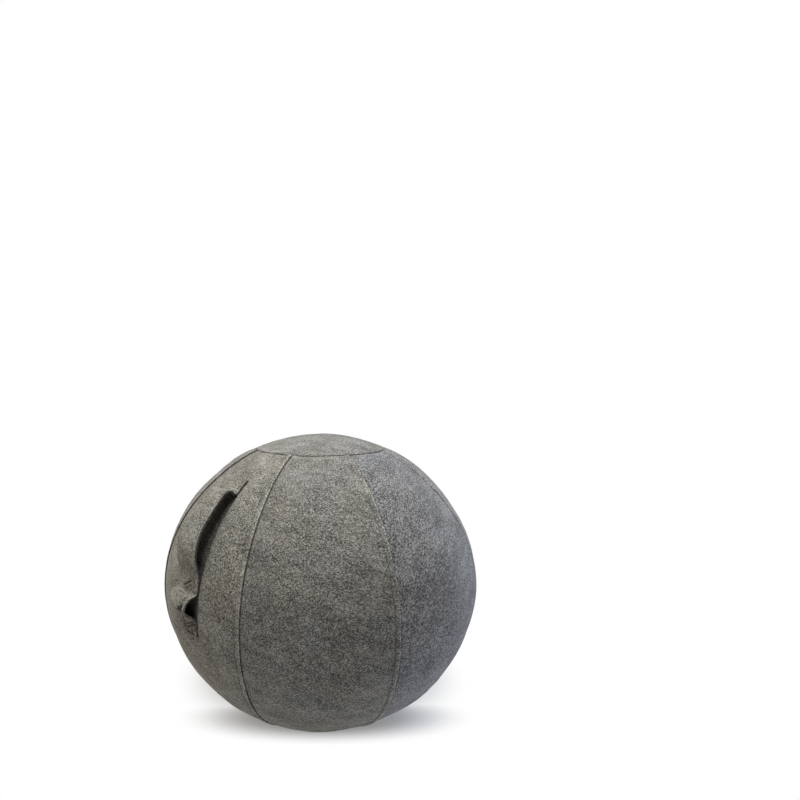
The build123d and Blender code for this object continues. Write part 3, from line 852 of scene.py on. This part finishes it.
def strap_pieces():
    values, t, azimuth, angle, height = strap_surface()
    under = place(azimuth, angle, height)
    normal = grid_normals(under)
    dent, pleat = line_depth(CREASES, t, angle), line_depth(PLEATS, t, angle)
    outer = under + (STRAP_THICKNESS - dent + pleat * (1 - 300 * dent))[..., None] * normal
    # Painted light on the strap: a painted highlight on the second fold's lip and over the pleats, painted shade
    # along both edges, in the pocket below the fold and in the creases.
    pocket_painted_shade = ramp_up(5.0 + 2.4 * t - angle, 0.3) * ramp_up(t - 0.05, 0.05) * ramp_up(angle - 2.0, 0.1)
    painted_light = 0.8 * bell(t, 1.0, 0.04) * bell(angle, 12.3, 2.2) - 0.35 * bell(np.abs(t), 1.0, 0.03)
    painted_light += 260 * pleat - 0.25 * pocket_painted_shade - 240 * dent
    split = int(np.argmin(np.abs(values[:, 0] - GRIP_SPLIT)))
    made = []
    for word, rows in (("upper", slice(0, split + 1)), ("lower", slice(split, None))):
        faces = grid_faces(len(range(*rows.indices(len(values)))), t.shape[1])
        points, quads = closed_sheet(outer[rows], under[rows], faces)
        piece = mesh_object(f"felt_strap_{word}", points, quads, strap_felt, painted_light=both_faces(painted_light[rows], faces))
        piece.data.materials.append(strap_edge_painted_shade)
        piece.data.materials.append(strap_under_painted_shade)
        # Rim faces take the darker edge felt and under faces the darkest felt, both painted shade.
        shades = np.ones(len(quads), np.int32)
        shades[: len(faces)] = 0
        shades[len(faces): 2 * len(faces)] = 2
        piece.data.polygons.foreach_set("material_index", shades)
        made.append(piece)
    return made, under, outer, values, split


straps, strap_inner, strap_outer, strap_values, strap_split = strap_pieces()
middle_line = strap_outer[:, strap_outer.shape[1] // 2]
flush_upper = middle_line[int(np.argmin(np.abs(strap_values[:, 0] - FLUSH_HIGH)))]
flush_lower = middle_line[int(np.argmin(np.abs(strap_values[:, 0] - FLUSH_LOW)))]
rows_length = np.linalg.norm(np.diff(middle_line, axis=0), axis=1)
for piece, start, lengths in ((straps[0], flush_upper, rows_length[:strap_split]),
                              (straps[1], flush_lower, rows_length[strap_split:])):
    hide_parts("handle_strap")
    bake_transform(piece)


def grip_lining(word, high, low):
    """Webbing under the arch of the strap, between two normal angles."""
    rows = np.where((strap_values[:, 0] <= high) & (strap_values[:, 0] >= low))[0]
    face = strap_inner[rows][:, 1:-1]
    normal = grid_normals(face)
    faces = grid_faces(len(rows), face.shape[1])
    points, quads = closed_sheet(face - LINING_TOP * normal, face - LINING_UNDER * normal, faces)
    return mesh_object(f"webbing_grip_lining_{word}", points, quads, webbing)


grip_split = strap_values[strap_split, 0]
for word, high, low, start in (("upper", GRIP_HIGH, grip_split, flush_upper),
                               ("lower", grip_split, GRIP_LOW, flush_lower)):
    lining = grip_lining(word, high, low)
    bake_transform(lining)
    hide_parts("handle_grip_lining")
    lining_length = float(arc_length(high) - arc_length(low)) * LINING_ARCH_SHARE

margin = math.degrees(BACKING_MARGIN / BALL_RADIUS)
backing = zone("lining_handle_backing", WINDOW_LOW - margin, WINDOW_HIGH + margin,
               HANDLE_AZIMUTH - SLIT_ANGLE - margin, 2 * (SLIT_ANGLE + margin), BACKING_DEPTH,
               BACKING_DEPTH + BACKING_THICKNESS, backing_felt_painted_shade, rows=70, columns=20)
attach(backing, "ball")
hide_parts("handle_backing")
backing_length = float(arc_length(WINDOW_HIGH + margin) - arc_length(WINDOW_LOW - margin))

# CAD pieces that stay as they are


def finish_node(name, material):
    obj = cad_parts[name]
    obj.data.materials.clear()
    obj.data.materials.append(material)


finish_node("inner_ball", bladder_vinyl)
finish_node("valve_seat", bladder_vinyl)
finish_node("air_plug", plug_plastic)
for name in ["cap_seam_tape"] + [f"seam_tape_{k + 1}" for k in range(PANELS)]:
    finish_node(name, tape_cloth)
for name in ("zip_stops", "zip_slider", "zip_pull"):
    finish_node(name, zip_metal)

# Floor, light and camera


def floor_material():
    """White floor that keeps the shadow near the object and passes into the white of the backdrop. The shadow's
    outline is painted: two ellipse masks fade it out to white, and the camera sees the floor darker than the lamps
    do, which deepens it.
    """
    material, tree, shader = new_material("floor_white")
    link = tree.links.new
    shader.inputs["Roughness"].default_value = 1.0
    shader.inputs["Specular IOR Level"].default_value = 0.0
    shader.inputs["Emission Color"].default_value = (1, 1, 1, 1)
    path = tree.nodes.new("ShaderNodeLightPath")
    shade = ramp(tree, path.outputs["Is Camera Ray"], [(0.0, (0.95, 0.95, 0.95)), (1.0, (0.5, 0.5, 0.5))])
    link(shade.outputs["Color"], shader.inputs["Base Color"])
    glow = spread(tree, path.outputs["Is Camera Ray"], 0, 1, FLOOR_FILL, FLOOR_LIFT)
    link(glow, shader.inputs["Emission Strength"])
    coordinates = tree.nodes.new("ShaderNodeTexCoord")

    def reach(location, scale, near, far):
        """Share of white that grows from a near to a far multiple of an ellipse on the floor."""
        mapping = node(tree, "ShaderNodeMapping", vector_type="TEXTURE", Location=location, Scale=scale)
        mapping.inputs["Rotation"].default_value = (0, 0, math.radians(CAMERA_AZIMUTH))
        link(coordinates.outputs["Object"], mapping.inputs["Vector"])
        distance = node(tree, "ShaderNodeVectorMath", operation="LENGTH")
        link(mapping.outputs["Vector"], distance.inputs[0])
        fade = node(tree, "ShaderNodeMapRange", interpolation_type="SMOOTHSTEP")
        fade.inputs["From Min"].default_value = near
        fade.inputs["From Max"].default_value = far
        link(distance.outputs["Value"], fade.inputs["Value"])
        return fade.outputs["Result"]

    front = reach(tuple(SHADOW_FRONT * to_camera + SHADOW_SIDE * to_right), FRONT_ELLIPSE, 0.45, 1.10)
    round_about = reach(tuple(SHADOW_BACK * to_camera), ROUND_ELLIPSE, 0.48, 1.03)
    outside = calculate(tree, "MINIMUM", front, round_about)
    seen = calculate(tree, "MULTIPLY", outside, path.outputs["Is Camera Ray"])
    white = node(tree, "ShaderNodeEmission", Strength=1.0)
    white.inputs["Color"].default_value = (1, 1, 1, 1)
    mixed = tree.nodes.new("ShaderNodeMixShader")
    link(seen, mixed.inputs["Fac"])
    link(shader.outputs["BSDF"], mixed.inputs[1])
    link(white.outputs["Emission"], mixed.inputs[2])
    below = tree.nodes.new("ShaderNodeMixShader")
    link(tree.nodes.new("ShaderNodeNewGeometry").outputs["Backfacing"], below.inputs["Fac"])
    link(mixed.outputs["Shader"], below.inputs[1])
    link(tree.nodes.new("ShaderNodeBsdfTransparent").outputs["BSDF"], below.inputs[2])
    link(below.outputs["Shader"], tree.nodes["Material Output"].inputs["Surface"])
    return material


bpy.ops.mesh.primitive_plane_add(size=60, location=(0, 0, -0.0002))
floor = bpy.context.object
floor.name = "floor"
floor.data.materials.append(floor_material())

world = bpy.data.worlds.new("studio")
bpy.context.scene.world = world
world.use_nodes = True
sky = world.node_tree
background = sky.nodes["Background"]
background.inputs["Color"].default_value = (1, 1, 1, 1)
path = sky.nodes.new("ShaderNodeLightPath")
through = calculate(sky, "MAXIMUM", path.outputs["Is Glossy Ray"], path.outputs["Is Transmission Ray"])
seen = calculate(sky, "MAXIMUM", path.outputs["Is Camera Ray"], through)
sky.links.new(spread(sky, seen, 0, 1, 0.05, 1.0), background.inputs["Strength"])


def softbox(name, right, front, up, size, power, colour, aim=(0, 0, 0.3)):
    """Square lamp placed to the camera's right, towards it and up, facing a point."""
    lamp = bpy.data.lights.new(name, "AREA")
    lamp.shape = "SQUARE"
    lamp.size = size
    lamp.energy = power
    lamp.color = colour
    obj = bpy.data.objects.new(name, lamp)
    bpy.context.scene.collection.objects.link(obj)
    at = Vector((right * to_right + front * to_camera + np.array([0, 0, up])).tolist())
    way = Vector(aim) - at
    obj.matrix_world = Matrix.Translation(at) @ way.to_track_quat("-Z", "Y").to_matrix().to_4x4()
    return obj


softbox("top_light", -0.1, 0.13, 2.0, 1.2, 46.0, (1.0, 0.98, 0.92))
softbox("right_light", 1.3, -1.3, 1.8, 1.1, 15.0, (0.32, 0.52, 1.0))
softbox("low_right_light", 1.2, 0.0, 0.1, 0.5, 6.5, (0.74, 0.80, 1.0), aim=(0, 0, 0.10))
softbox("left_light", -1.9, -0.2, 0.8, 1.3, 7.5, (1.0, 0.78, 0.48))

camera_data = bpy.data.cameras.new("camera")
camera = bpy.data.objects.new("camera", camera_data)
bpy.context.scene.collection.objects.link(camera)
camera_data.sensor_width = 36.0
camera_data.lens = FOCAL_PIXELS / PICTURE * camera_data.sensor_width
camera_data.shift_x = (PICTURE / 2 - CENTRE_PIXEL[0]) / PICTURE
camera_data.shift_y = (CENTRE_PIXEL[1] - PICTURE / 2) / PICTURE
camera_data.clip_start = 0.01
eye = Vector((CAMERA_REACH * to_camera + np.array([0, 0, CAMERA_HEIGHT])).tolist())
gaze = Vector((0, 0, EQUATOR)) - eye
camera.matrix_world = Matrix.Translation(eye) @ gaze.to_track_quat("-Z", "Y").to_matrix().to_4x4()
bpy.context.scene.camera = camera
bpy.context.scene.view_settings.view_transform = "Standard"
